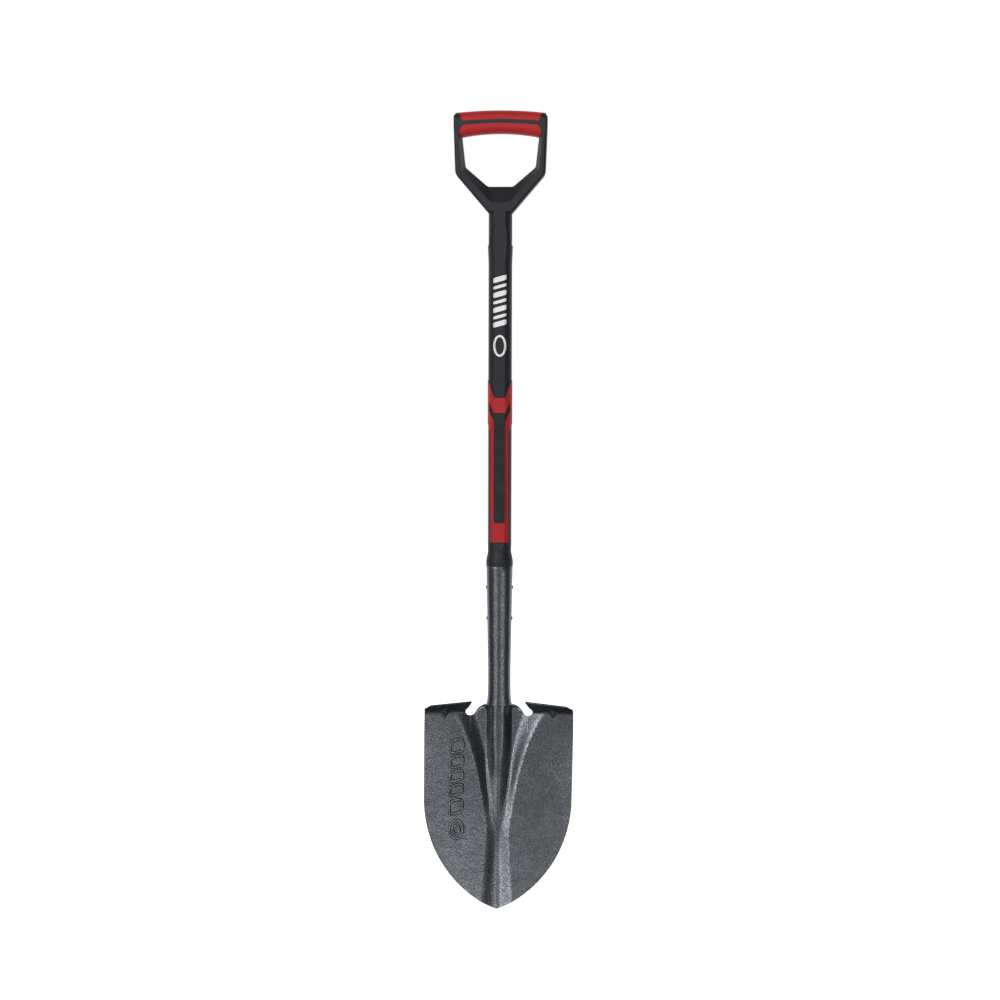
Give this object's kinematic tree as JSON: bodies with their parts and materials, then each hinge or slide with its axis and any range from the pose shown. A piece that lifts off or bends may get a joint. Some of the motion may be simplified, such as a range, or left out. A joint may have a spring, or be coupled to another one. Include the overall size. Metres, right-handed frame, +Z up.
{
  "type": "round point shovel",
  "caption": "D-handle round point shovel: pressed steel blade with rolled socket and turned foot steps, sleeved fibreglass handle with soft grip, moulded D-grip.",
  "frame": {"origin": "middle of the underside of the D-grip's crossbar, where the tool hangs from a peg", "axes": "+Z up the handle's axis, -Y out of the blade's dished front, +X to the right seen from the front"},
  "size_m": [0.222, 0.1019, 1.1697],
  "materials": {
    "blade_steel": "glossy hammertone enamel",
    "rivet_steel": "satin",
    "resin_black": "matte",
    "rubber_red": "soft matte",
    "rubber_black": "soft matte",
    "fibreglass": "matte",
    "plug_wood": "matte"
  },
  "bodies": {
    "root": {"blade": "blade_steel", "rivet_upper": "rivet_steel", "rivet_lower": "rivet_steel", "fibreglass_core": "fibreglass", "core_plug_lower": "plug_wood", "core_plug_upper": "plug_wood", "handle_jacket": "resin_black", "grip_sleeve": "rubber_red", "grip_inlay_front": "rubber_black", "grip_inlay_back": "rubber_black", "socket_collar": "resin_black", "dgrip_body": "resin_black", "dgrip_pad_upper": "rubber_red", "dgrip_pad_lower": "rubber_red"}
  },
  "joints": []
}
